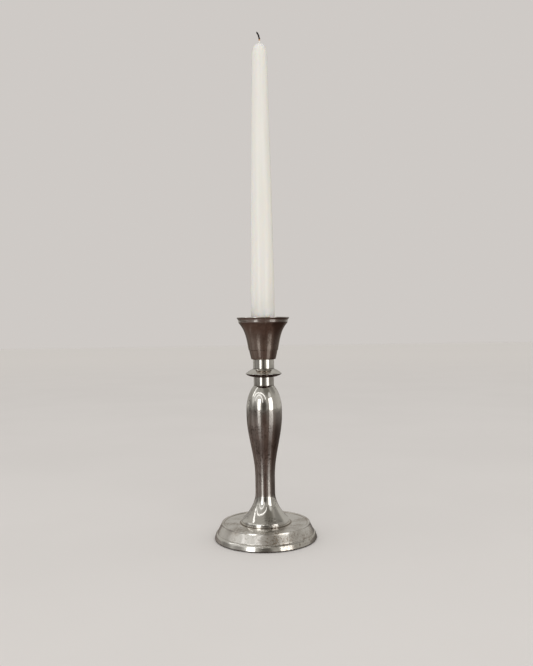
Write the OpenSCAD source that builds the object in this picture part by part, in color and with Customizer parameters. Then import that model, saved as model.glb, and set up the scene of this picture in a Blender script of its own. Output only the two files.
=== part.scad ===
// Candlestick with a taper candle: a weighted base, a baluster stem and a bell-shaped cup,
// clamped together by one threaded rod. Millimetres, +Z up, origin on the table under the axis.

/* [Base] */
// Diameter over the foot ring
base_d = 100; // [98:0.5:112]
// Height of the top plate above the table
plate_z = 15.2; // [15:0.2:18]
// Diameter over the bead around the top plate
bead_d = 86.4; // [84:0.2:88]
// Width of that bead
bead_w = 2.4; // [1.4:0.1:2.8]
// Height of the bead above the plate
bead_h = 0.8; // [0.4:0.1:1]
// Height of the foot ring's upper edge above the table
flange_z = 6.6; // [5.6:0.1:7]
// Wall thickness of the spun base shell
shell_t = 1.2; // [0.8:0.1:1.4]
// Thickness of the felt pad
felt_t = 1.2; // [1:0.1:1.4]
// How far the felt stands below the foot ring
felt_proud = 0.8; // [0.3:0.1:0.9]

/* [Stem] */
// Diameter of the stem's foot
foot_d = 48.2; // [47:0.2:52]
// Height of the band around the stem's foot
foot_band_h = 3.9; // [2.6:0.1:4.6]
// Diameter of the waist
waist_d = 19.3; // [18:0.1:21]
// Height of the waist's lower end, where the foot starts to flare
flare_z = 44.5; // [42:0.5:50]
// Height of the waist's upper end, where the rise to the belly starts
waist_z = 59.5; // [54:0.5:62]
// Diameter of the belly
belly_d = 34.8; // [30:0.2:40]
// Height at which the belly reaches its full width
belly_z = 121.8; // [112:0.2:125]
// Height of the top of the shoulder
shoulder_z = 149.2; // [147:0.2:160]
// Wall thickness of the hollow stem
stem_wall = 2; // [1.5:0.1:2.4]

/* [Necks and knop] */
// Diameter of the neck under the knop
lower_neck_d = 19.8; // [18:0.1:22]
// Length of the neck under the knop
lower_neck_h = 8.5; // [4:0.1:12]
// Diameter of the knop
knop_d = 35.4; // [28:0.1:42]
// Length of the knop along the axis
knop_h = 8; // [6:0.1:12]
// Diameter of the neck above the knop
upper_neck_d = 20.7; // [18:0.1:22]
// Length of the neck above the knop
upper_neck_h = 9.2; // [4:0.1:12]

/* [Candle cup] */
// Diameter at the bottom of the collar under the cup
collar_d = 24.6; // [23:0.1:26]
// Height of that collar
collar_h = 9; // [7:0.1:12]
// Diameter at the bottom of the bell
bell_d = 28.9; // [28:0.1:31]
// Height of the bell
bell_h = 26.5; // [26:0.1:32]
// Wall thickness of the bell
bell_wall = 1.4; // [1:0.1:1.4]
// Height of the rim above the bell
rim_h = 5.6; // [4.6:0.1:6]
// Diameter over the rim
rim_d = 51.6; // [50:0.1:54]
// Bore of the candle socket
socket_d = 23.1; // [22.8:0.1:23.2]

/* [Candle] */
// Diameter of the candle where it leaves the cup
candle_d = 22.9; // [21.5:0.1:23]
// Diameter just below the candle's melted shoulder
candle_top_d = 15.2; // [12:0.1:18]
// Whole length of the candle without its wick
candle_l = 294; // [240:1:300]
// Height of the wick above the wax
wick_l = 12.5; // [9:0.5:14]
// Diameter of the wick
wick_d = 1.9; // [1.4:0.1:2.2]

/* [Hidden] */
$fn = 96;
curve_steps = 14;
slip = 0.05;
cut = 1;

// Heights of the stack, from the shoulder up
knop_z = shoulder_z + lower_neck_h;
upper_neck_z = knop_z + knop_h;
collar_z = upper_neck_z + upper_neck_h;
bell_z = collar_z + collar_h;
rim_z = bell_z + bell_h;
top_z = rim_z + rim_h;

// Radii that several pieces share
base_r = base_d / 2;
bead_r = bead_d / 2;
foot_r = foot_d / 2;
belly_r = belly_d / 2;
waist_r = waist_d / 2;
lower_neck_r = lower_neck_d / 2;
upper_neck_r = upper_neck_d / 2;
bell_r = bell_d / 2;
rim_r = rim_d / 2;
socket_r = socket_d / 2;

// Base shell: the skirt slopes from just outside the bead down to the foot ring
under_plate_z = plate_z - shell_t;
skirt_top_r = bead_r + 0.1;
skirt_top_z = plate_z - 0.4;
skirt_r = base_r - 2.7;

// Foot ring: a sloping face under an arc of an ellipse, and a thin upstand that fits inside the
// skirt
ring_z = felt_proud;
ring_edge = 0.4;
ring_lean = 0.6;
ring_round_r = 2.3;
ring_round_h = 4.6;
ring_round_start = 33;
upstand_h = 1.5;
upstand_t = 1.2;
upstand_z = flange_z + upstand_h;
skirt_run = (skirt_r - skirt_top_r) / (skirt_top_z - flange_z);
upstand_r = skirt_r - shell_t - upstand_h * skirt_run - 0.15;
ring_in_r = upstand_r - upstand_t;
rebate_r = base_r - 3;
rebate_z = 2.2;
felt_inset = 0.4;

// Weight under the plate, with a pocket for the clamping nut
ballast_r = bead_r - shell_t - 0.4;
ballast_z = 3.2;
ballast_chamfer = 1;
ballast_web = 2.7;
ballast_pocket_r = 14;
clamp_z = under_plate_z - ballast_web;

// Threaded rod and what it clamps
rod_r = 3;
rod_hole_r = 3.3;
rod_end_z = 2.6;
rod_chamfer = 0.6;
nut_across_flats = 10;
nut_h = 5;
nut_chamfer = 0.5;
spring_washer_h = 1.6;
spring_washer_r = 5.9;
spring_gap = 0.8;
washer_h = 1.6;
washer_r = 9;
washer_z = clamp_z - washer_h;
spring_washer_z = washer_z - spring_washer_h;
nut_z = spring_washer_z - nut_h;
cup_nut_r = 8;
cup_nut_h = 2.6;
cup_nut_chamfer = 0.4;
slot_w = 1.4;
slot_depth = 1.1;

// Stem foot: a thin fillet on the plate, a slightly convex band, then the parabolic flare
fillet_h = 0.9;
band_r = foot_r - 0.3;
band_z = plate_z + fillet_h;
band_lean = 0.8;
flare_end_r = foot_r - 1.6;
flare_end_z = plate_z + foot_band_h;

// Stem body: the rise is half a cosine wave, the shoulder an arc of an ellipse
belly_flat = 4;
shoulder_base_z = belly_z + belly_flat;
shoulder_angle = acos(lower_neck_r / belly_r);
shoulder_rz = (shoulder_z - shoulder_base_z) / sin(shoulder_angle);
cavity_z = flare_end_z + 0.8;
cavity_flare = (flare_z - cavity_z) / (flare_z - flare_end_z);
cavity_shoulder_rz = shoulder_rz - 3 * stem_wall;
cavity_top_r = 8;
cavity_top_angle = acos(cavity_top_r / (belly_r - stem_wall));
cavity_top_z = shoulder_base_z + cavity_shoulder_rz * sin(cavity_top_angle);
bush_r = 19;

// Knop: a superellipse, thinner towards its edge above than below
knop_edge_z = knop_z + 0.4 * knop_h;
knop_top_power = 1.2;
knop_low_power = 1.45;
knop_foot_r = lower_neck_r + 0.2;

// Collar: a cone with a rounded lower edge
collar_r = collar_d / 2;
collar_flare = 1.7;
collar_round = 1.4;
collar_round_end = 350;

// Bell: a straight slope plus a fourth-power curl towards the rim
bell_slope = 4.7;
bell_curl = 4.65;
bell_curl_power = 4;
bell_floor = 2;
bell_floor_z = bell_z + bell_floor;
bell_top_r = bell_r + bell_slope + bell_curl;

// Rim: a small step, a concave fascia and a rolled lip
rim_step = 0.3;
rim_step_h = 0.5;
fascia_r = bell_top_r + 0.05;
fascia_mid_r = rim_r - 1;
fascia_mid_z = rim_z + 0.62 * rim_h;
fascia_top_r = rim_r - 0.3;
rim_round = 0.55;
fascia_top_z = top_z - 2.2 * rim_round;
rim_in_low_r = bell_top_r - bell_wall;
rim_in_mid_r = rim_in_low_r + 0.5;
rim_in_mid_z = rim_z + 0.4 * rim_h;
rim_in_top_r = rim_r - 2 * rim_round - 0.3;
rim_in_top_z = top_z - 0.4;

// Socket liner
liner_r = socket_r + 1.05;
liner_h = 22;
liner_top_z = bell_floor_z + liner_h;
liner_lip = 0.9;
liner_chamfer = 0.4;

// Candle: parallel foot, straight taper, melted shoulder with a shallow dish
candle_z = bell_floor_z + cup_nut_h + 0.2;
candle_foot_r = 11.2;
candle_foot_l = 27;
candle_foot_chamfer = 0.8;
candle_step = 1;
candle_top_z = candle_z + candle_l;
melt_drop = 10.5;
dish_r = 3.2;
dish_depth = 0.6;
wick_r = wick_d / 2;
wick_foot_z = candle_z + 1;
wick_bend_r = 9;
wick_bend = 42;
wick_bend_z = candle_top_z + wick_l - (wick_bend_r + wick_r) * sin(wick_bend);

// Points on an arc of an ellipse, angles in degrees from the +X side
function arc(cx, cz, rx, rz, from, to) = [
    for (i = [0:curve_steps])
        let (a = from + (to - from) * i / curve_steps)
        [cx + rx * cos(a), cz + rz * sin(a)]
];

// Points on r = r0 + dr * t^power, z = z0 + dz * t, for t between two values
function bent(r0, dr, z0, dz, power, from, to) = [
    for (i = [0:curve_steps])
        let (t = from + (to - from) * i / curve_steps)
        [r0 + dr * pow(t, power), z0 + dz * t]
];

function reversed(points) = [for (i = [len(points) - 1:-1:0]) points[i]];

// Stem outline between foot band and shoulder, moved inwards by a wall thickness
function flare(wall, reach) =
    bent(waist_r - wall, flare_end_r - waist_r, flare_z, flare_end_z - flare_z, 2, reach, 0);
function rise(wall) = [
    for (i = [0:curve_steps])
        let (t = i / curve_steps)
        [
            waist_r - wall + (belly_r - waist_r) * (1 - cos(180 * t)) / 2,
            waist_z + (belly_z - waist_z) * t
        ]
];
function shoulder(wall, rz, angle) = arc(0, shoulder_base_z, belly_r - wall, rz, 0, angle);

// Half of the knop's outline, from its edge to a neck: dz is the signed height to that neck
function knop_side(neck_r, dz, power) = [
    for (i = [0:curve_steps])
        let (u = sin(90 * i / curve_steps))
        [
            neck_r + (knop_d / 2 - neck_r) * pow(1 - pow(u, power), 1 / power),
            knop_edge_z + dz * u
        ]
];

// Bell outline, moved inwards by a wall thickness, from a fraction of its height to its top
function bell(wall, from) = [
    for (i = [0:curve_steps])
        let (t = from + (1 - from) * i / curve_steps)
        [
            bell_r - wall + bell_slope * t + bell_curl * pow(t, bell_curl_power),
            bell_z + bell_h * t
        ]
];

module turned(outline) {
    rotate_extrude()
        polygon(outline);
}

// Ring with a plain rectangular section
module ring(inner, outer, z, h) {
    turned([[inner, z], [outer, z], [outer, z + h], [inner, z + h]]);
}

module foot_rim() {
    color("silver")
        turned(concat(
            [[rebate_r, ring_z], [base_r - ring_edge, ring_z], [base_r, ring_z + ring_edge]],
            arc(
                base_r - ring_lean - ring_round_r, flange_z - ring_round_h,
                ring_round_r, ring_round_h, ring_round_start, 90
            ),
            [
                [upstand_r, flange_z], [upstand_r, upstand_z], [ring_in_r, upstand_z],
                [ring_in_r, rebate_z], [rebate_r, rebate_z]
            ]
        ));
}

// Spun shell: top plate, rolled bead and sloping skirt
module base_shell() {
    color("silver")
        turned(concat(
            [[rod_hole_r, under_plate_z], [rod_hole_r, plate_z]],
            arc(bead_r - bead_w / 2, plate_z, bead_w / 2, bead_h, 180, 0),
            [
                [skirt_top_r, skirt_top_z], [skirt_r, flange_z], [skirt_r - shell_t, flange_z],
                [skirt_top_r - shell_t, under_plate_z]
            ]
        ));
}

module bottom_cover() {
    color("dimgray")
        ring(0, rebate_r - slip, felt_t, rebate_z - felt_t);
}

module felt_pad() {
    color("darkgreen")
        ring(0, rebate_r - felt_inset, 0, felt_t);
}

module ballast() {
    color("darkslategray")
        turned([
            [rod_hole_r, clamp_z], [ballast_pocket_r, clamp_z], [ballast_pocket_r, ballast_z],
            [ballast_r - ballast_chamfer, ballast_z], [ballast_r, ballast_z + ballast_chamfer],
            [ballast_r, under_plate_z], [rod_hole_r, under_plate_z]
        ]);
}

module base_washer() {
    color("lightgray")
        ring(rod_hole_r, washer_r, washer_z, washer_h);
}

// Flattened split washer
module spring_washer() {
    color("gray")
        difference() {
            ring(rod_hole_r, spring_washer_r, spring_washer_z, spring_washer_h);
            translate([0, -spring_gap / 2, spring_washer_z - cut])
                cube([spring_washer_r + cut, spring_gap, spring_washer_h + 2 * cut]);
        }
}

// Hexagon nut with chamfered corners
module base_nut() {
    corner_r = nut_across_flats / 2 / cos(30);
    end_r = corner_r - 2 * nut_chamfer;
    color("lightgray")
        difference() {
            intersection() {
                translate([0, 0, nut_z])
                    cylinder(h = nut_h, r = corner_r, $fn = 6);
                turned([
                    [0, nut_z], [end_r, nut_z], [corner_r, nut_z + nut_chamfer],
                    [corner_r, nut_z + nut_h - nut_chamfer], [end_r, nut_z + nut_h],
                    [0, nut_z + nut_h]
                ]);
            }
            translate([0, 0, nut_z - cut])
                cylinder(h = nut_h + 2 * cut, r = rod_r);
        }
}

module tie_rod() {
    rod_top_z = bell_floor_z + cup_nut_h - slot_depth - 0.2;
    color("lightgray")
        turned([
            [0, rod_end_z], [rod_r - rod_chamfer, rod_end_z], [rod_r, rod_end_z + rod_chamfer],
            [rod_r, rod_top_z - rod_chamfer], [rod_r - rod_chamfer, rod_top_z], [0, rod_top_z]
        ]);
}

module foot_bush() {
    color("goldenrod")
        ring(rod_hole_r, bush_r - slip, plate_z, cavity_z - plate_z);
}

// Hollow baluster, open at its foot and closed by a thick boss at its top
module stem() {
    color("silver")
        turned(concat(
            [[bush_r, plate_z], [foot_r, plate_z], [foot_r, band_z]],
            bent(band_r, -band_lean, band_z, flare_end_z - band_z, 2, 0, 1),
            flare(0, 1),
            rise(0),
            shoulder(0, shoulder_rz, shoulder_angle),
            [[rod_hole_r, shoulder_z], [rod_hole_r, cavity_top_z]],
            reversed(shoulder(stem_wall, cavity_shoulder_rz, cavity_top_angle)),
            reversed(rise(stem_wall)),
            reversed(flare(stem_wall, cavity_flare)),
            [[bush_r, cavity_z]]
        ));
}

module lower_neck() {
    color("silver")
        ring(rod_hole_r, lower_neck_r, shoulder_z, lower_neck_h);
}

module knop() {
    color("silver")
        turned(concat(
            [[rod_hole_r, knop_z]],
            reversed(knop_side(knop_foot_r, knop_z - knop_edge_z, knop_low_power)),
            knop_side(upper_neck_r, upper_neck_z - knop_edge_z, knop_top_power),
            [[rod_hole_r, upper_neck_z]]
        ));
}

module upper_neck() {
    color("silver")
        ring(rod_hole_r, upper_neck_r, upper_neck_z, upper_neck_h);
}

module cup_collar() {
    color("silver")
        turned(concat(
            [[rod_hole_r, collar_z]],
            arc(
                collar_r - collar_round, collar_z + collar_round,
                collar_round, collar_round, 270, collar_round_end
            ),
            [[collar_r + collar_flare, bell_z], [rod_hole_r, bell_z]]
        ));
}

// Bell with a flat floor for the nut
module candle_cup() {
    color("silver")
        turned(concat(
            [[rod_hole_r, bell_z]],
            bell(0, 0),
            reversed(bell(bell_wall, bell_floor / bell_h)),
            [[rod_hole_r, bell_floor_z]]
        ));
}

module cup_rim() {
    color("silver")
        turned(concat(
            [
                [rim_in_low_r, rim_z], [fascia_r, rim_z], [fascia_r + rim_step, rim_z + rim_step_h],
                [fascia_mid_r, fascia_mid_z], [fascia_top_r, fascia_top_z]
            ],
            arc(rim_r - rim_round, top_z - rim_round, rim_round, rim_round, -30, 120),
            [[rim_in_top_r, rim_in_top_z], [rim_in_mid_r, rim_in_mid_z]]
        ));
}

// Sleeve that holds the candle's foot, with a rolled lip
module socket_liner() {
    lip_z = liner_top_z - liner_lip;
    color("goldenrod")
        turned(concat(
            [[socket_r, bell_floor_z], [liner_r, bell_floor_z], [liner_r, lip_z - liner_lip]],
            arc(liner_r, lip_z, liner_lip, liner_lip, -90, 90),
            [[socket_r + liner_chamfer, liner_top_z], [socket_r, liner_top_z - liner_chamfer]]
        ));
}

// Round nut with one screwdriver slot
module cup_nut() {
    nut_top_z = bell_floor_z + cup_nut_h;
    color("goldenrod")
        difference() {
            turned([
                [rod_r, bell_floor_z], [cup_nut_r, bell_floor_z],
                [cup_nut_r, nut_top_z - cup_nut_chamfer],
                [cup_nut_r - cup_nut_chamfer, nut_top_z], [rod_r, nut_top_z]
            ]);
            translate([-cup_nut_r - cut, -slot_w / 2, nut_top_z - slot_depth])
                cube([2 * (cup_nut_r + cut), slot_w, slot_depth + cut]);
        }
}

// Taper candle, bored for its wick
module candle() {
    wick_hole_r = wick_r + slip;
    foot_top_z = candle_z + candle_foot_l;
    melt_r = candle_top_d / 2 - dish_r;
    color("ivory")
        turned(concat(
            [
                [wick_hole_r, candle_z], [candle_foot_r - candle_foot_chamfer, candle_z],
                [candle_foot_r, candle_z + candle_foot_chamfer], [candle_foot_r, foot_top_z],
                [candle_d / 2, foot_top_z + candle_step]
            ],
            arc(dish_r, candle_top_z - melt_drop, melt_r, melt_drop, 0, 90),
            [[wick_hole_r, candle_top_z - dish_depth]]
        ));
}

// Straight wick with its bare tip bent towards -X
module wick() {
    color("black")
        union() {
            translate([0, 0, wick_foot_z])
                cylinder(h = wick_bend_z - wick_foot_z, r = wick_r);
            translate([-wick_bend_r, 0, wick_bend_z])
                rotate([90, 0, 0])
                    rotate_extrude(angle = wick_bend)
                        translate([wick_bend_r, 0])
                            circle(r = wick_r);
        }
}

foot_rim();
base_shell();
bottom_cover();
felt_pad();
ballast();
base_washer();
spring_washer();
base_nut();
tie_rod();
foot_bush();
stem();
lower_neck();
knop();
upper_neck();
cup_collar();
candle_cup();
cup_rim();
socket_liner();
cup_nut();
candle();
wick();
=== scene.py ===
"""Silver candlestick with a taper candle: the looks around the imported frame."""
import math

import bmesh
import bpy
from mathutils import Matrix, Vector, noise


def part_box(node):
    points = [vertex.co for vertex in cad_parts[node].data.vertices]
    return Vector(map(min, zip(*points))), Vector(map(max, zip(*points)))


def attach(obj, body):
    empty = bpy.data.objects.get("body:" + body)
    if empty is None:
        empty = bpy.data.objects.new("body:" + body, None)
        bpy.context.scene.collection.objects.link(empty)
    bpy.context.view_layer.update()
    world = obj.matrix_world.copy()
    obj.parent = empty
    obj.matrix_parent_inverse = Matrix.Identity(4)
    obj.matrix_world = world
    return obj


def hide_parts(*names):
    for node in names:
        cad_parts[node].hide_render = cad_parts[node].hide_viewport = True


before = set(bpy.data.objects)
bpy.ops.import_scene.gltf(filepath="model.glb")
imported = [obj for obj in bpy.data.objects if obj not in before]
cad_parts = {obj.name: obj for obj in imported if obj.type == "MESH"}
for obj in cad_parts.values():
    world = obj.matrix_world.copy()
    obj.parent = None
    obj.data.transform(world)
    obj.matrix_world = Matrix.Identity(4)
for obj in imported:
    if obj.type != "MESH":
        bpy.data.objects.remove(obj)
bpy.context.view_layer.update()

MM = 0.001
STICK = "candlestick"
TAPER = "taper"
SEGMENTS = 192
CAMERA_AT = (0.0033, -0.693, 0.2045)
CAMERA_DOWN = 0.33  # degrees below level
CAMERA_ROLL = 0.8  # degrees
FASCIA_DEPTH = 0.13 * MM
EDGE = 0.22 * MM  # how far a turned piece's corners are eased
KNOP_EDGE = 1.4 * MM


# ---------------------------------------------------------------- camera

def make_camera():
    """A level view from just under the rim's height, with the photograph's slight roll."""
    data = bpy.data.cameras.new("camera")
    data.lens = 38.25
    data.sensor_width = 36
    data.sensor_fit = "AUTO"
    camera = bpy.data.objects.new("camera", data)
    bpy.context.scene.collection.objects.link(camera)
    place = Matrix.Translation(CAMERA_AT)
    pitch = Matrix.Rotation(math.radians(90 - CAMERA_DOWN), 4, "X")
    roll = Matrix.Rotation(math.radians(-CAMERA_ROLL), 4, "Z")
    camera.matrix_world = place @ pitch @ roll
    bpy.context.scene.camera = camera


# ---------------------------------------------------------------- turned shapes

def section(name):
    """Closed outline of a turned CAD node as (radius, height) points, cut by the XZ plane."""
    bm = bmesh.new()
    bm.from_mesh(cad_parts[name].data)
    bmesh.ops.remove_doubles(bm, verts=bm.verts, dist=1e-6)
    everything = bm.verts[:] + bm.edges[:] + bm.faces[:]
    cut = bmesh.ops.bisect_plane(
        bm, geom=everything, dist=1e-7, plane_co=(0, 0, 0), plane_no=(0, 1, 0)
    )["geom_cut"]
    links = {}
    for edge in cut:
        if isinstance(edge, bmesh.types.BMEdge) and min(v.co.x for v in edge.verts) > 0:
            a, b = edge.verts
            links.setdefault(a, []).append(b)
            links.setdefault(b, []).append(a)
    start = max(links, key=lambda v: (round(v.co.z, 7), v.co.x))
    loop, before, here = [start], None, start
    while True:
        following = [v for v in links[here] if v is not before]
        before, here = here, following[0]
        if here is start:
            break
        loop.append(here)
    points = [Vector((v.co.x, v.co.z)) for v in loop]
    bm.free()
    return without_straight_points(points)


def turning(points, i):
    """Angle in degrees by which a closed outline turns at a point."""
    a, b, c = points[i - 1], points[i], points[(i + 1) % len(points)]
    return math.degrees((b - a).angle(c - b))


def without_straight_points(points):
    return [p for i, p in enumerate(points) if turning(points, i) > 0.05]


def between(p0, p1, p2, p3, t):
    """Catmull-Rom point between p1 and p2, for uneven spacing."""
    t0 = 0.0
    t1 = t0 + max((p1 - p0).length, 1e-9) ** 0.5
    t2 = t1 + max((p2 - p1).length, 1e-9) ** 0.5
    t3 = t2 + max((p3 - p2).length, 1e-9) ** 0.5
    u = t1 + (t2 - t1) * t
    a1 = p0 * ((t1 - u) / (t1 - t0)) + p1 * ((u - t0) / (t1 - t0))
    a2 = p1 * ((t2 - u) / (t2 - t1)) + p2 * ((u - t1) / (t2 - t1))
    a3 = p2 * ((t3 - u) / (t3 - t2)) + p3 * ((u - t2) / (t3 - t2))
    b1 = a1 * ((t2 - u) / (t2 - t0)) + a2 * ((u - t0) / (t2 - t0))
    b2 = a2 * ((t3 - u) / (t3 - t1)) + a3 * ((u - t1) / (t3 - t1))
    return b1 * ((t2 - u) / (t2 - t1)) + b2 * ((u - t1) / (t2 - t1))


def refined(points, step=0.8 * MM, edge=EDGE, corner=22):
    """The outline with its curved stretches made smooth and its corners eased.

    A point that turns the outline by more than corner degrees is a corner.
    """
    count = len(points)
    sharp = [turning(points, i) > corner for i in range(count)]
    curved = []
    for i in range(count):
        a, b = points[i], points[(i + 1) % count]
        if sharp[i]:
            before = a - (b - a)
        else:
            before = points[i - 1]
        if sharp[(i + 1) % count]:
            after = b + (b - a)
        else:
            after = points[(i + 2) % count]
        pieces = max(1, math.ceil((b - a).length / step))
        curved.append((a, sharp[i]))
        for k in range(1, pieces):
            curved.append((between(before, a, b, after, k / pieces), False))
    out = []
    for i, (p, is_corner) in enumerate(curved):
        if not is_corner:
            out.append(p)
            continue
        a, b = curved[i - 1][0], curved[(i + 1) % len(curved)][0]
        reach = min(edge, 0.45 * (a - p).length, 0.45 * (b - p).length)
        start, end = p + (a - p).normalized() * reach, p + (b - p).normalized() * reach
        for k in range(5):
            t = k / 4
            out.append(start * (1 - t) ** 2 + p * 2 * t * (1 - t) + end * t * t)
    return out


def mesh_object(name, bm, smooth_angle=40):
    bmesh.ops.recalc_face_normals(bm, faces=bm.faces)
    mesh = bpy.data.meshes.new(name)
    bm.to_mesh(mesh)
    bm.free()
    for face in mesh.polygons:
        face.use_smooth = True
    mesh.set_sharp_from_angle(angle=math.radians(smooth_angle))
    piece = bpy.data.objects.new(name, mesh)
    bpy.context.scene.collection.objects.link(piece)
    return piece


def turned(name, outline, segments=SEGMENTS, moved=None):
    """Revolves a closed outline. moved(point) may shift each vertex."""
    bm = bmesh.new()
    rings = []
    for k in range(segments):
        angle = 2 * math.pi * k / segments
        ring = []
        for r, z in outline:
            point = Vector((r * math.cos(angle), r * math.sin(angle), z))
            ring.append(bm.verts.new(moved(point) if moved else point))
        rings.append(ring)
    count = len(outline)
    for k in range(segments):
        ring, following = rings[k], rings[(k + 1) % segments]
        for i in range(count):
            j = (i + 1) % count
            bm.faces.new((ring[i], following[i], following[j], ring[j]))
    return mesh_object(name, bm)


def hollowed_fascia(outline):
    """The rim's outline with its outer band drawn in to a shallow hollow."""
    low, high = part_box("cup_rim")
    foot = [p.x for p in outline if p.y < low.z + 0.1 * MM]
    middle = (min(foot) + max(foot)) / 2
    band_low, band_high = low.z + 0.6 * MM, high.z - 1.2 * MM
    out = []
    for p in outline:
        t = (p.y - band_low) / (band_high - band_low)
        split = middle + (high.x - 1.4 * MM - middle) * max(t, 0.0)
        if 0 < t < 1 and p.x > split:
            p = Vector((p.x - FASCIA_DEPTH * math.sin(math.pi * t), p.y))
        out.append(p)
    return out


def stands_for(piece, node, body, material):
    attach(piece, body)
    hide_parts(node)
    piece.data.materials.append(material)
    return piece


# ---------------------------------------------------------------- shader helpers

def new_material(name):
    material = bpy.data.materials.new(name)
    material.use_nodes = True
    return material, material.node_tree, material.node_tree.nodes["Principled BSDF"]


def put(tree, kind, inputs=(), **settings):
    """Adds a node. inputs maps a socket's name or number to a value or to another socket."""
    made = tree.nodes.new(kind)
    for key, value in settings.items():
        setattr(made, key, value)
    for key, value in dict(inputs).items():
        if isinstance(value, bpy.types.NodeSocket):
            tree.links.new(value, made.inputs[key])
        else:
            made.inputs[key].default_value = value
    return made


def math_node(tree, operation, a, b=0.0, clamp=False):
    made = put(tree, "ShaderNodeMath", {0: a, 1: b}, operation=operation, use_clamp=clamp)
    return made.outputs[0]


def place_in(tree):
    """Object coordinates in metres: the vector and its X, Y and Z."""
    vector = put(tree, "ShaderNodeTexCoord").outputs["Object"]
    split = put(tree, "ShaderNodeSeparateXYZ", {0: vector})
    return vector, split.outputs[0], split.outputs[1], split.outputs[2]


def cloud(tree, vector, scale, detail=3.0, rough=0.55, low=0.35, high=0.65):
    """Soft noise stretched to run from 0 to 1 between two levels."""
    made = put(
        tree, "ShaderNodeTexNoise",
        {"Vector": vector, "Scale": scale, "Detail": detail, "Roughness": rough},
    )
    ramp = put(
        tree, "ShaderNodeMapRange",
        {"Value": made.outputs["Fac"], "From Min": low, "From Max": high},
        interpolation_type="SMOOTHSTEP",
    )
    return ramp.outputs[0]


def stretched(tree, vector, x, y, z):
    made = put(tree, "ShaderNodeVectorMath", {0: vector, 1: (x, y, z)}, operation="MULTIPLY")
    return made.outputs[0]


def faded(tree, value, low, high, at_low=1.0, at_high=0.0):
    made = put(
        tree, "ShaderNodeMapRange",
        {"Value": value, "From Min": low, "From Max": high, "To Min": at_low, "To Max": at_high},
        interpolation_type="SMOOTHSTEP",
    )
    return made.outputs[0]


def colour_mix(tree, factor, a, b):
    made = put(tree, "ShaderNodeMix", {0: factor}, data_type="RGBA")
    for key, value in ((6, a), (7, b)):
        if isinstance(value, bpy.types.NodeSocket):
            tree.links.new(value, made.inputs[key])
        else:
            made.inputs[key].default_value = (*value, 1)
    return made.outputs[2]


# ---------------------------------------------------------------- metals

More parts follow.
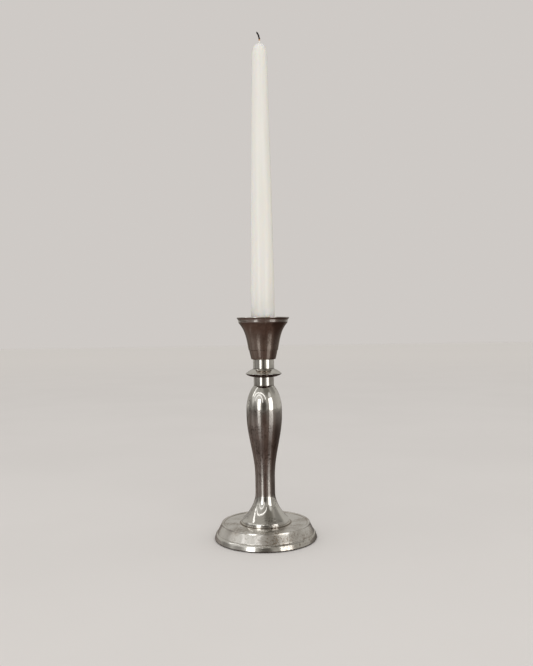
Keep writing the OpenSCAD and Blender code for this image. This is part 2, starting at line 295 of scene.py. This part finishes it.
def silver(name, clean, tarnish_and_reflection_colour, roughness, seams=(), rings=(), inside=0.0, painted_underside_reflection=0.0, satin=0.0,
           stains=0.0):
    """Silver plate: turning lines, wiping marks, dull film, mottling, pits, tarnishing and painted
    reflection.

    seams holds heights, and rings holds radii with the half width and strength of a tarnished line.
    inside is how much faces turned to the axis are darkened, and under is the strength of the
    painted reflection of the dark table on faces turned downwards.
    stains strengthens the film, mottling and pits, and satin the turning lines.
    """
    material, tree, shader = new_material(name)
    vector, x, y, z = place_in(tree)
    outwards = stretched(tree, vector, 1, 1, 0)
    radius = put(tree, "ShaderNodeVectorMath", {0: outwards}, operation="LENGTH").outputs["Value"]
    along = math_node(tree, "ADD", z, radius)
    lines_at = put(
        tree, "ShaderNodeCombineXYZ",
        {
            0: math_node(tree, "MULTIPLY", x, 40),
            1: math_node(tree, "MULTIPLY", y, 40),
            2: math_node(tree, "MULTIPLY", along, 2600),
        },
    ).outputs[0]
    lines = put(
        tree, "ShaderNodeTexNoise",
        {"Vector": lines_at, "Scale": 1.0, "Detail": 2.0, "Roughness": 0.6},
    ).outputs["Fac"]
    film = cloud(tree, vector, 55, low=0.42, high=0.68)
    smears = cloud(tree, stretched(tree, vector, 1, 1, 0.35), 190, detail=4, low=0.45, high=0.75)
    cells = put(
        tree, "ShaderNodeTexVoronoi", {"Vector": vector, "Scale": 780.0}, feature="F1"
    ).outputs["Distance"]
    dots = faded(tree, cells, 0.06, 0.2)
    pits = math_node(tree, "MULTIPLY", dots, cloud(tree, vector, 95, low=0.56, high=0.7))
    specks = cloud(tree, vector, 620, detail=3, rough=0.65, low=0.5, high=0.62)
    mottle = math_node(tree, "MULTIPLY", specks, cloud(tree, vector, 62, low=0.44, high=0.62))
    dirt_and_painted_reflection = math_node(tree, "MULTIPLY", film, 0.2 + 0.4 * stains)
    dirt_and_painted_reflection = math_node(
        tree, "ADD", dirt_and_painted_reflection, math_node(tree, "MULTIPLY", mottle, 0.4 + 0.6 * stains), clamp=True
    )
    for seam in seams:
        away = math_node(tree, "ABSOLUTE", math_node(tree, "SUBTRACT", z, seam))
        dirt_and_painted_reflection = math_node(tree, "MAXIMUM", dirt_and_painted_reflection, faded(tree, away, 0.1 * MM, 0.7 * MM, 0.5, 0.0))
    for place, half_width, strength in rings:
        away = math_node(tree, "ABSOLUTE", math_node(tree, "SUBTRACT", radius, place))
        line = faded(tree, away, 0.3 * half_width, half_width, strength, 0.0)
        dirt_and_painted_reflection = math_node(tree, "MAXIMUM", dirt_and_painted_reflection, line)
    normal = put(tree, "ShaderNodeTexCoord").outputs["Normal"]
    facing = put(
        tree, "ShaderNodeVectorMath", {0: normal, 1: outwards}, operation="DOT_PRODUCT"
    ).outputs["Value"]
    # Faces turned to the axis, inside the cup and the rim, are darkened by the inside strength.
    dirt_and_painted_reflection = math_node(tree, "MAXIMUM", dirt_and_painted_reflection, faded(tree, facing, -0.004, 0.001, inside, 0.0))
    # Painted reflection: faces turned downwards darken towards the dark colour, standing in for the
    # dark table that they mirror.
    upward = put(tree, "ShaderNodeSeparateXYZ", {0: normal}).outputs[2]
    dirt_and_painted_reflection = math_node(tree, "MAXIMUM", dirt_and_painted_reflection, faded(tree, upward, -0.45, -0.15, painted_underside_reflection, 0.0))
    dirt_and_painted_reflection = math_node(
        tree, "ADD", dirt_and_painted_reflection, math_node(tree, "MULTIPLY", pits, 0.35 + 0.4 * stains), clamp=True
    )
    tree.links.new(colour_mix(tree, dirt_and_painted_reflection, clean, tarnish_and_reflection_colour), shader.inputs["Base Color"])
    shader.inputs["Metallic"].default_value = 1.0
    shader.inputs["Anisotropic"].default_value = satin
    rough = math_node(tree, "ADD", math_node(tree, "MULTIPLY", film, 0.05), roughness)
    rough = math_node(tree, "ADD", rough, math_node(tree, "MULTIPLY", smears, 0.05))
    rough = math_node(tree, "ADD", rough, math_node(tree, "MULTIPLY", lines, 0.03))
    rough = math_node(tree, "ADD", rough, math_node(tree, "MULTIPLY", mottle, 0.1))
    rough = math_node(tree, "ADD", rough, math_node(tree, "MULTIPLY", pits, 0.2), clamp=True)
    tree.links.new(rough, shader.inputs["Roughness"])
    swell = put(
        tree, "ShaderNodeTexNoise", {"Vector": vector, "Scale": 70.0, "Detail": 1.0}
    ).outputs["Fac"]
    height = math_node(tree, "MULTIPLY", swell, 0.7)
    turning_lines = math_node(tree, "MULTIPLY", lines, 0.006 + 0.02 * satin)
    height = math_node(tree, "ADD", height, turning_lines)
    height = math_node(tree, "SUBTRACT", height, math_node(tree, "MULTIPLY", mottle, 0.16))
    height = math_node(tree, "SUBTRACT", height, math_node(tree, "MULTIPLY", pits, 0.12))
    bump = put(
        tree, "ShaderNodeBump", {"Height": height, "Strength": 0.35, "Distance": 0.12 * MM}
    )
    tree.links.new(bump.outputs[0], shader.inputs["Normal"])
    return material


def plain_metal(name, colour, dark, roughness, grain):
    """Brass, zinc plate or cast iron: mottled colour, varied roughness and a fine grain."""
    material, tree, shader = new_material(name)
    vector = place_in(tree)[0]
    blotch = cloud(tree, vector, 160, detail=5)
    fine = cloud(tree, vector, 1500, detail=2)
    mixed = math_node(tree, "MULTIPLY", blotch, 0.6)
    tree.links.new(colour_mix(tree, mixed, colour, dark), shader.inputs["Base Color"])
    shader.inputs["Metallic"].default_value = 1.0
    rough = math_node(tree, "ADD", math_node(tree, "MULTIPLY", blotch, 0.15), roughness)
    tree.links.new(rough, shader.inputs["Roughness"])
    bump = put(
        tree, "ShaderNodeBump", {"Height": fine, "Strength": grain, "Distance": 0.1 * MM}
    )
    tree.links.new(bump.outputs[0], shader.inputs["Normal"])
    return material


# ---------------------------------------------------------------- wax, cotton, felt

def wax_material():
    """Ivory wax: translucent and faintly streaked; painted shade darkens and yellows the +X side,
    painted light pales the -X side and the foot.
    """
    material, tree, shader = new_material("wax")
    vector, x, _, z = place_in(tree)
    streaks = cloud(tree, stretched(tree, vector, 1, 1, 0.02), 420, detail=3, low=0.3, high=0.7)
    patches = cloud(tree, stretched(tree, vector, 1, 1, 0.25), 60, low=0.35, high=0.7)
    # Painted shade: the wax turns darker and yellower towards +X.
    side = faded(tree, x, 0.001, 0.011, 0.0, 1.0)
    tint = math_node(tree, "ADD", math_node(tree, "MULTIPLY", side, 0.55), 0.1)
    tint = math_node(tree, "ADD", tint, math_node(tree, "MULTIPLY", patches, 0.2), clamp=True)
    body = colour_mix(tree, tint, (0.83, 0.82, 0.785), (0.79, 0.77, 0.69))
    # Painted light: the wax turns paler just above the cup's rim and towards -X.
    rim_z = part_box("cup_rim")[1].z
    foot = faded(tree, z, rim_z, rim_z + 14 * MM, 0.9, 0.0)
    painted_light_far_side = faded(tree, x, -0.010, -0.005, 0.7, 0.0)
    body = colour_mix(tree, math_node(tree, "MAXIMUM", foot, painted_light_far_side), body, (0.96, 0.95, 0.92))
    lighter = math_node(tree, "MULTIPLY", streaks, 0.35)
    tree.links.new(
        colour_mix(tree, lighter, body, (0.90, 0.89, 0.85)), shader.inputs["Base Color"]
    )
    shader.inputs["Subsurface Weight"].default_value = 0.35
    shader.inputs["Subsurface Radius"].default_value = (1.0, 0.75, 0.5)
    shader.inputs["Subsurface Scale"].default_value = 3 * MM
    shader.inputs["IOR"].default_value = 1.44
    rough = math_node(tree, "ADD", math_node(tree, "MULTIPLY", patches, 0.10), 0.16)
    tree.links.new(rough, shader.inputs["Roughness"])
    grain = put(
        tree, "ShaderNodeTexNoise", {"Vector": vector, "Scale": 900.0, "Detail": 2.0}
    ).outputs["Fac"]
    height = math_node(tree, "ADD", math_node(tree, "MULTIPLY", grain, 0.15), streaks)
    bump = put(
        tree, "ShaderNodeBump", {"Height": height, "Strength": 0.25, "Distance": 0.08 * MM}
    )
    tree.links.new(bump.outputs[0], shader.inputs["Normal"])
    return material


def wick_material(foot_z):
    """Cotton that is waxed white at its foot, scorched above, and black at its tip."""
    material, tree, shader = new_material("wick_cotton")
    vector, _, _, z = place_in(tree)
    ragged = put(
        tree, "ShaderNodeTexNoise", {"Vector": vector, "Scale": 900.0, "Detail": 3.0}
    ).outputs["Fac"]
    level = math_node(tree, "ADD", z, math_node(tree, "MULTIPLY", ragged, 0.9 * MM))
    scorch = faded(tree, level, foot_z + 3.4 * MM, foot_z + 4.2 * MM, 0.0, 1.0)
    char = faded(tree, level, foot_z + 5.0 * MM, foot_z + 5.7 * MM, 0.0, 1.0)
    waxed = colour_mix(tree, scorch, (0.84, 0.80, 0.76), (0.50, 0.25, 0.09))
    tree.links.new(
        colour_mix(tree, char, waxed, (0.012, 0.009, 0.008)), shader.inputs["Base Color"]
    )
    rough = math_node(tree, "ADD", math_node(tree, "MULTIPLY", char, 0.4), 0.5)
    tree.links.new(rough, shader.inputs["Roughness"])
    fibres = put(
        tree, "ShaderNodeTexNoise", {"Vector": vector, "Scale": 3500.0, "Detail": 3.0}
    ).outputs["Fac"]
    bump = put(
        tree, "ShaderNodeBump", {"Height": fibres, "Strength": 0.7, "Distance": 0.2 * MM}
    )
    tree.links.new(bump.outputs[0], shader.inputs["Normal"])
    return material


def felt_material():
    material, tree, shader = new_material("felt")
    vector = place_in(tree)[0]
    tufts = cloud(tree, vector, 700, detail=6, rough=0.75, low=0.3, high=0.7)
    wear = cloud(tree, vector, 70)
    body = colour_mix(tree, tufts, (0.012, 0.045, 0.028), (0.045, 0.125, 0.08))
    worn = math_node(tree, "MULTIPLY", wear, 0.35)
    tree.links.new(
        colour_mix(tree, worn, body, (0.10, 0.15, 0.11)), shader.inputs["Base Color"]
    )
    shader.inputs["Roughness"].default_value = 0.95
    shader.inputs["Sheen Weight"].default_value = 0.12
    shader.inputs["Sheen Roughness"].default_value = 0.6
    bump = put(
        tree, "ShaderNodeBump", {"Height": tufts, "Strength": 0.9, "Distance": 0.3 * MM}
    )
    tree.links.new(bump.outputs[0], shader.inputs["Normal"])
    return material


# ---------------------------------------------------------------- candle and wick

def candle_piece(material):
    """Taper candle: slightly uneven sides and a softened, lopsided top around a shallow dish."""
    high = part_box("candle")[1]
    melt_from = high.z - 11 * MM

    def moved(p):
        out = Vector((p.x, p.y, 0))
        if out.length < 1.5 * MM and p.z < melt_from:
            return p
        wave = noise.noise(Vector((p.x * 60, p.y * 60, p.z * 14)))
        inwards = 0.05 * MM * (1 + wave)
        melt = min(max((p.z - melt_from) / (high.z - melt_from), 0.0), 1.0)
        lump = noise.noise(Vector((p.x * 230, p.y * 230, p.z * 120 + 4.7)))
        inwards += 0.35 * MM * melt * (1 + lump)
        sag = 0.5 + 0.5 * noise.noise(Vector((p.x * 190, p.y * 190, 2.3)))
        drop = 0.5 * MM * melt * melt * sag
        side = out.normalized() * max(out.length - inwards, 0.95 * MM)
        return Vector((side.x, side.y, p.z - drop))

    outline = refined(section("candle"), step=1.5 * MM, edge=0.5 * MM)
    piece = turned("taper_candle", outline, segments=96, moved=moved)
    return stands_for(piece, "candle", TAPER, material)


def wick_path(foot_z):
    """Centre line of the wick: straight in the wax, a slight bow, then a curl towards -X."""
    low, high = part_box("wick")
    bare = high.z - foot_z
    points = [Vector((0, 0, low.z)), Vector((0, 0, foot_z - 3 * MM))]
    steps = 44
    for k in range(steps + 1):
        t = k / steps
        bow = 0.22 * MM * math.sin(math.pi * min(t / 0.75, 1.0))
        curl = -2.5 * MM * max(t - 0.42, 0.0) ** 2 / 0.58 ** 2
        points.append(Vector((bow + curl, 0.25 * MM * math.sin(3 * t), foot_z + bare * 0.975 * t)))
    return points


def wick_piece(material, foot_z):
    """Three-strand braid swept along the wick's centre line, ragged at its charred tip."""
    path = wick_path(foot_z)
    tip_from = len(path) - 5
    around = 36
    bm = bmesh.new()
    rings = []
    travelled = 0.0
    for i, centre in enumerate(path):
        if i:
            travelled += (centre - path[i - 1]).length
        ahead = path[min(i + 1, len(path) - 1)] - path[max(i - 1, 0)]
        side = ahead.cross(Vector((0, 1, 0))).normalized()
        other = ahead.cross(side).normalized()
        bare = max(0.0, min(1.0, (centre.z - foot_z - 3 * MM) / (1.5 * MM)))
        closing = 1.0 if i < tip_from else 1.0 - 0.17 * (i - tip_from)
        ring = []
        for k in range(around):
            angle = 2 * math.pi * k / around
            across, along = math.cos(angle), math.sin(angle)
            strand = math.cos(3 * angle + travelled / (0.62 * MM))
            counter = math.cos(2 * angle - travelled / (0.48 * MM))
            size = 0.74 + bare * (0.10 * strand + 0.05 * counter)
            rough = 0.06 * noise.noise(Vector((across * 3, along * 3, travelled / MM)))
            r = (size + rough * (0.3 + bare)) * MM * closing
            ring.append(bm.verts.new(centre + side * across * r + other * along * r))
        rings.append(ring)
    for ring, following in zip(rings, rings[1:]):
        for k in range(around):
            j = (k + 1) % around
            bm.faces.new((ring[k], ring[j], following[j], following[k]))
    bm.faces.new(rings[0])
    bm.faces.new(rings[-1])
    piece = mesh_object("braided_wick", bm, smooth_angle=60)
    return stands_for(piece, "wick", TAPER, material)


# ---------------------------------------------------------------- base trim and fasteners

def felt_piece(material):
    """Pressed felt disc with a soft, slightly uneven edge and a lightly crowned face."""
    low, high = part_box("felt_pad")
    radius, thick = high.x, high.z - low.z
    outline = []
    for k in range(61):
        r = radius * k / 60
        outline.append((max(r, 1e-6), low.z + 0.02 * MM))
    for k in range(1, 8):
        angle = math.pi * k / 8 - math.pi / 2
        r = radius - 0.35 * MM + 0.35 * MM * math.cos(angle)
        outline.append((r, (low.z + high.z) / 2 + 0.48 * thick * math.sin(angle)))
    for k in range(60, -1, -1):
        outline.append((max((radius - 0.4 * MM) * k / 60, 1e-6), high.z - 0.005 * MM))

    def moved(p):
        fuzz = noise.noise(p * 1400) + 0.6 * noise.noise(p * 5200)
        out = Vector((p.x, p.y, 0))
        if out.length < 0.5 * MM:
            return p
        inwards = max(0.0, 0.16 * MM * fuzz * (out.length / radius) ** 8)
        lift = max(0.0, 0.05 * MM * fuzz) if p.z < thick / 2 else 0.0
        side = out.normalized() * (out.length - inwards)
        return Vector((side.x, side.y, p.z + lift))

    piece = turned("felt_disc", outline, segments=SEGMENTS, moved=moved)
    bm = bmesh.new()
    bm.from_mesh(piece.data)
    bmesh.ops.remove_doubles(bm, verts=bm.verts, dist=2e-6)
    bm.to_mesh(piece.data)
    bm.free()
    return stands_for(piece, "felt_pad", STICK, material)


def rod_piece(material):
    """Plain rod with a rolled metric thread at each end."""
    low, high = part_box("tie_rod")
    radius, pitch, threaded = high.x, 1.0 * MM, 16 * MM
    heights = []
    z = low.z
    while z < high.z:
        near_end = min(z - low.z, high.z - z) < threaded
        heights.append(z)
        z += pitch / 8 if near_end else 6 * MM
    heights.append(high.z)
    around = 32
    bm = bmesh.new()
    rings = []
    for z in heights:
        from_end = min(z - low.z, high.z - z)
        depth = 0.5 * MM if from_end < threaded else 0.0
        ease = 0.45 * MM * max(0.0, 1 - from_end / (0.6 * MM))
        ring = []
        for k in range(around):
            angle = 2 * math.pi * k / around
            turn = (z / pitch - k / around) % 1.0
            groove = depth * min(1.0, max(0.0, 1.35 * (1 - abs(2 * turn - 1)) - 0.2))
            r = radius - groove - ease
            ring.append(bm.verts.new((r * math.cos(angle), r * math.sin(angle), z)))
        rings.append(ring)
    for ring, following in zip(rings, rings[1:]):
        for k in range(around):
            j = (k + 1) % around
            bm.faces.new((ring[k], ring[j], following[j], following[k]))
    bm.faces.new(rings[0])
    bm.faces.new(rings[-1])
    piece = mesh_object("threaded_rod", bm, smooth_angle=50)
    return stands_for(piece, "tie_rod", STICK, material)


# ---------------------------------------------------------------- stage and light

def stage_plane(name, low, high, z, material):
    bm = bmesh.new()
    corners = ((low[0], low[1]), (high[0], low[1]), (high[0], high[1]), (low[0], high[1]))
    bm.faces.new([bm.verts.new((x, y, z)) for x, y in corners])
    plane = mesh_object(name, bm)
    plane.data.materials.append(material)
    return plane


def make_stage():
    """A pale floor for the camera with painted light that grows with distance, and a dark table top
    just above it that only reflections see.
    """
    material, tree, shader = new_material("pale_floor")
    vector = place_in(tree)[0]
    shade = cloud(tree, vector, 3)
    near = colour_mix(tree, shade, (0.735, 0.71, 0.69), (0.75, 0.725, 0.705))
    # Painted light: the floor turns paler with distance from the object, making up for the lights'
    # falloff so the far floor meets the wall.
    away = put(tree, "ShaderNodeVectorMath", {0: vector}, operation="LENGTH").outputs["Value"]
    tree.links.new(
        colour_mix(tree, faded(tree, away, 0.8, 5.0, 0.0, 1.0), near, (0.80, 0.77, 0.74)),
        shader.inputs["Base Color"],
    )
    shader.inputs["Roughness"].default_value = 0.9
    shader.inputs["Specular IOR Level"].default_value = 0.1
    floor = stage_plane("floor", (-8, -8), (8, 8), 0.0, material)
    floor.visible_glossy = False
    material, tree, shader = new_material("dark_table")
    vector = place_in(tree)[0]
    outwards = put(tree, "ShaderNodeVectorMath", {0: vector}, operation="NORMALIZE").outputs[0]
    dull_side = lobe(tree, outwards, 112, 0, 22, 52)
    grain = cloud(tree, stretched(tree, vector, 0.12, 1, 1), 120, detail=5)
    wood = colour_mix(tree, grain, (0.066, 0.035, 0.027), (0.100, 0.058, 0.046))
    wood = colour_mix(tree, dull_side, wood, (0.040, 0.023, 0.018))
    tree.links.new(wood, shader.inputs["Base Color"])
    shader.inputs["Roughness"].default_value = 0.22
    gloss = faded(tree, dull_side, 0.0, 1.0, 0.45, 0.05)
    tree.links.new(gloss, shader.inputs["Specular IOR Level"])
    table = stage_plane("dark_table", (-1.1, -1.1), (1.1, 0.51), 0.05 * MM, material)
    table.visible_camera = False
    table.visible_diffuse = False
    table.visible_shadow = False
    table.visible_transmission = False


AIM = Vector((0, 0, 0.14))


def towards(azimuth, elevation):
    """Unit vector from the object: azimuth 0 is -Y, positive to +X, in degrees."""
    a, e = math.radians(azimuth), math.radians(elevation)
    return Vector((math.sin(a) * math.cos(e), -math.cos(a) * math.cos(e), math.sin(e)))


def softbox(name, azimuth, elevation, wide, high, radiance, colour=(1, 1, 1), distance=2.0):
    """Rectangular area light, given by the angles it fills as seen from the object."""
    data = bpy.data.lights.new(name, "AREA")
    data.shape = "RECTANGLE"
    data.size = 2 * distance * math.tan(math.radians(wide / 2))
    data.size_y = 2 * distance * math.tan(math.radians(high / 2))
    data.energy = radiance * math.pi * data.size * data.size_y
    data.color = colour
    light = bpy.data.objects.new(name, data)
    bpy.context.scene.collection.objects.link(light)
    direction = towards(azimuth, elevation)
    light.matrix_world = (
        Matrix.Translation(AIM + direction * distance)
        @ direction.to_track_quat("Z", "Y").to_matrix().to_4x4()
    )
    light.visible_camera = False
    return light


def light_arch(name, azimuth, half_width, foot, crown, thick, radiance, distance):
    """Thin arched tube light, given by the angles it fills as seen from the object."""
    material, _, shader = new_material(name)
    shader.inputs["Base Color"].default_value = (0, 0, 0, 1)
    shader.inputs["Emission Color"].default_value = (1.0, 0.985, 0.96, 1)
    shader.inputs["Emission Strength"].default_value = radiance
    bm = bmesh.new()
    rings = []
    steps = 48
    for k in range(steps + 1):
        t = math.pi * k / steps
        pair = []
        for grow in (-thick / 2, thick / 2):
            side = azimuth + (half_width + grow) * math.cos(t)
            up = foot + (crown - foot + grow) * math.sin(t)
            pair.append(bm.verts.new(AIM + towards(side, up) * distance))
        rings.append(pair)
    for a, b in zip(rings, rings[1:]):
        bm.faces.new((a[0], a[1], b[1], b[0]))
    arch = mesh_object(name, bm)
    arch.data.materials.append(material)
    arch.visible_camera = False
    arch.visible_diffuse = False
    arch.visible_shadow = False


def make_lights():
    """Windows and arches that only reflections see, and a fill that they don't."""
    for window in (
        softbox("window_left", -33.5, 9, 18, 28, 1.6, (1.0, 0.99, 0.97)),
        softbox("window_right", 46, 10, 27, 30, 1.5, (1.0, 0.985, 0.96)),
        softbox("strip_left", -93, 36, 7, 32, 1.0),
    ):
        window.visible_diffuse = False
    fill = softbox("front_fill", 0, 32, 60, 40, 1.15, (1.0, 0.99, 0.97), distance=3.0)
    fill.visible_glossy = False
    light_arch("arch_inner", -36, 27, 15, 35, 5.0, 1.0, 2.0)
    light_arch("arch_outer", -33, 43, 22, 42, 4.5, 1.3, 0.4)


def lobe(tree, direction, azimuth, elevation, inner, outer):
    """1 within an angle of a direction, fading to 0 at a wider one."""
    aligned = put(
        tree, "ShaderNodeVectorMath", {0: direction, 1: towards(azimuth, elevation)},
        operation="DOT_PRODUCT",
    ).outputs["Value"]
    return faded(
        tree, aligned, math.cos(math.radians(outer)), math.cos(math.radians(inner)), 0.0, 1.0
    )


def make_world():
    """Three surrounds: a pale wall for the camera, a soft light, and the room in reflections.

    The room is paler behind the object, has soft patches in front and at the sides, and is dark
    brown below the horizon.
    """
    world = bpy.data.worlds.new("studio")
    bpy.context.scene.world = world
    world.use_nodes = True
    tree = world.node_tree
    tree.nodes.clear()
    direction = put(tree, "ShaderNodeTexCoord").outputs["Generated"]
    up = put(tree, "ShaderNodeSeparateXYZ", {0: direction}).outputs[2]
    room = colour_mix(
        tree, lobe(tree, direction, 180, 10, 40, 110), (0.33, 0.315, 0.285), (0.42, 0.405, 0.375)
    )
    for azimuth, elevation, inner, outer, colour in (
        (30, 55, 8, 30, (0.15, 0.14, 0.12)),
        (47, 33, 4, 13, (0.60, 0.59, 0.56)),
        (100, 42, 6, 24, (0.22, 0.21, 0.19)),
        (-62, 12, 20, 50, (0.42, 0.41, 0.385)),
        (-39, 24, 11, 23, (0.60, 0.59, 0.56)),
        (-82, 24, 8, 19, (0.62, 0.61, 0.58)),
        (-100, -4, 8, 24, (0.21, 0.20, 0.185)),
        (-62, -4, 8, 24, (0.23, 0.22, 0.205)),
        (0, 6, 7, 21, (0.075, 0.068, 0.058)),
    ):
        patch = lobe(tree, direction, azimuth, elevation, inner, outer)
        room = colour_mix(tree, patch, room, colour)
    below = faded(tree, up, -0.16, -0.02, 1.0, 0.0)
    room = colour_mix(tree, below, room, (0.10, 0.085, 0.075))
    mirrored = put(tree, "ShaderNodeBackground", {"Color": room, "Strength": 1.0})
    wall = put(tree, "ShaderNodeBackground", {"Color": (0.62, 0.59, 0.565, 1), "Strength": 1.0})
    soft = put(tree, "ShaderNodeBackground", {"Color": (0.90, 0.885, 0.865, 1), "Strength": 0.85})
    path = put(tree, "ShaderNodeLightPath").outputs
    mixed = put(
        tree, "ShaderNodeMixShader",
        {0: path["Is Glossy Ray"], 1: soft.outputs[0], 2: mirrored.outputs[0]},
    )
    mixed = put(
        tree, "ShaderNodeMixShader",
        {0: path["Is Camera Ray"], 1: mixed.outputs[0], 2: wall.outputs[0]},
    )
    out = put(tree, "ShaderNodeOutputWorld")
    tree.links.new(mixed.outputs[0], out.inputs["Surface"])


# ---------------------------------------------------------------- assembly

def dress_cad_nodes(materials):
    for name, material in materials.items():
        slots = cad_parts[name].data.materials
        slots.clear()
        slots.append(material)


make_camera()
make_stage()
make_world()
make_lights()

CLEAN = (0.88, 0.86, 0.82)
TARNISH = (0.30, 0.235, 0.17)
BROWN_TARNISH = (0.22, 0.15, 0.11)
# Near black: tarnish, and on the knop's underside a painted reflection of the dark table.
BLACK_TARNISH_AND_REFLECTION = (0.13, 0.10, 0.08)
seam_heights = [
    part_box(n)[0].z
    for n in ("stem", "knop", "upper_neck", "cup_collar", "candle_cup", "cup_rim")
]
shell_outline = refined(section("base_shell"))
plate_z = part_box("stem")[0].z
plate_r = sorted(p.x for p in section("base_shell") if abs(p.y - plate_z) < 0.02 * MM)[-2]
foot_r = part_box("stem")[1].x
polished = silver(
    "silver_polished", CLEAN, BLACK_TARNISH_AND_REFLECTION, 0.035, seams=seam_heights, stains=0.4
)
# The knop's underside is painted near black, a painted reflection of the dark table below it.
knop_silver = silver(
    "silver_knop", CLEAN, BLACK_TARNISH_AND_REFLECTION, 0.035, seams=seam_heights, painted_underside_reflection=0.99, stains=0.4
)
dull = silver(
    "silver_dull", (0.74, 0.67, 0.60), BROWN_TARNISH, 0.1,
    seams=seam_heights, inside=0.95, stains=0.35,
)
lip_silver = silver(
    "silver_lip", (0.96, 0.94, 0.91), BROWN_TARNISH, 0.06, inside=0.95, stains=0.15
)
base_silver = silver(
    "silver_satin", (0.91, 0.885, 0.85), TARNISH, 0.13, satin=0.35, stains=0.45,
    rings=((plate_r - 0.3 * MM, 0.6 * MM, 0.6), (foot_r + 0.5 * MM, 1.4 * MM, 0.95)),
)
ring_silver = silver("silver_ring", CLEAN, TARNISH, 0.08, stains=0.3)
brass = plain_metal("brass", (0.72, 0.55, 0.28), (0.42, 0.30, 0.14), 0.28, 0.2)
steel = plain_metal("steel", (0.62, 0.62, 0.61), (0.38, 0.37, 0.35), 0.32, 0.3)
iron = plain_metal("iron", (0.07, 0.07, 0.07), (0.13, 0.10, 0.08), 0.6, 0.9)
wax = wax_material()
wax_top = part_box("candle")[1].z

for node_name in ("stem", "lower_neck", "upper_neck"):
    shape = turned("turned_" + node_name, refined(section(node_name)))
    stands_for(shape, node_name, STICK, polished)
shape = turned("turned_knop", refined(section("knop"), edge=KNOP_EDGE))
stands_for(shape, "knop", STICK, knop_silver)
for node_name in ("cup_collar", "candle_cup"):
    shape = turned("turned_" + node_name, refined(section(node_name)))
    stands_for(shape, node_name, STICK, dull)
rim = turned("turned_cup_rim", hollowed_fascia(refined(section("cup_rim"), step=0.5 * MM)))
stands_for(rim, "cup_rim", STICK, lip_silver)
ring = turned("turned_foot_rim", refined(section("foot_rim")))
stands_for(ring, "foot_rim", STICK, ring_silver)
shell = turned("spun_base_shell", shell_outline)
stands_for(shell, "base_shell", STICK, base_silver)
liner = turned("brass_socket_liner", refined(section("socket_liner")), segments=96)
stands_for(liner, "socket_liner", STICK, brass)
candle_piece(wax)
wick_piece(wick_material(wax_top), wax_top)
felt_piece(felt_material())
rod_piece(steel)
dress_cad_nodes({
    "bottom_cover": steel, "base_washer": steel, "spring_washer": steel, "base_nut": steel,
    "ballast": iron, "foot_bush": brass, "cup_nut": brass,
})

bpy.context.scene.view_settings.view_transform = "Standard"
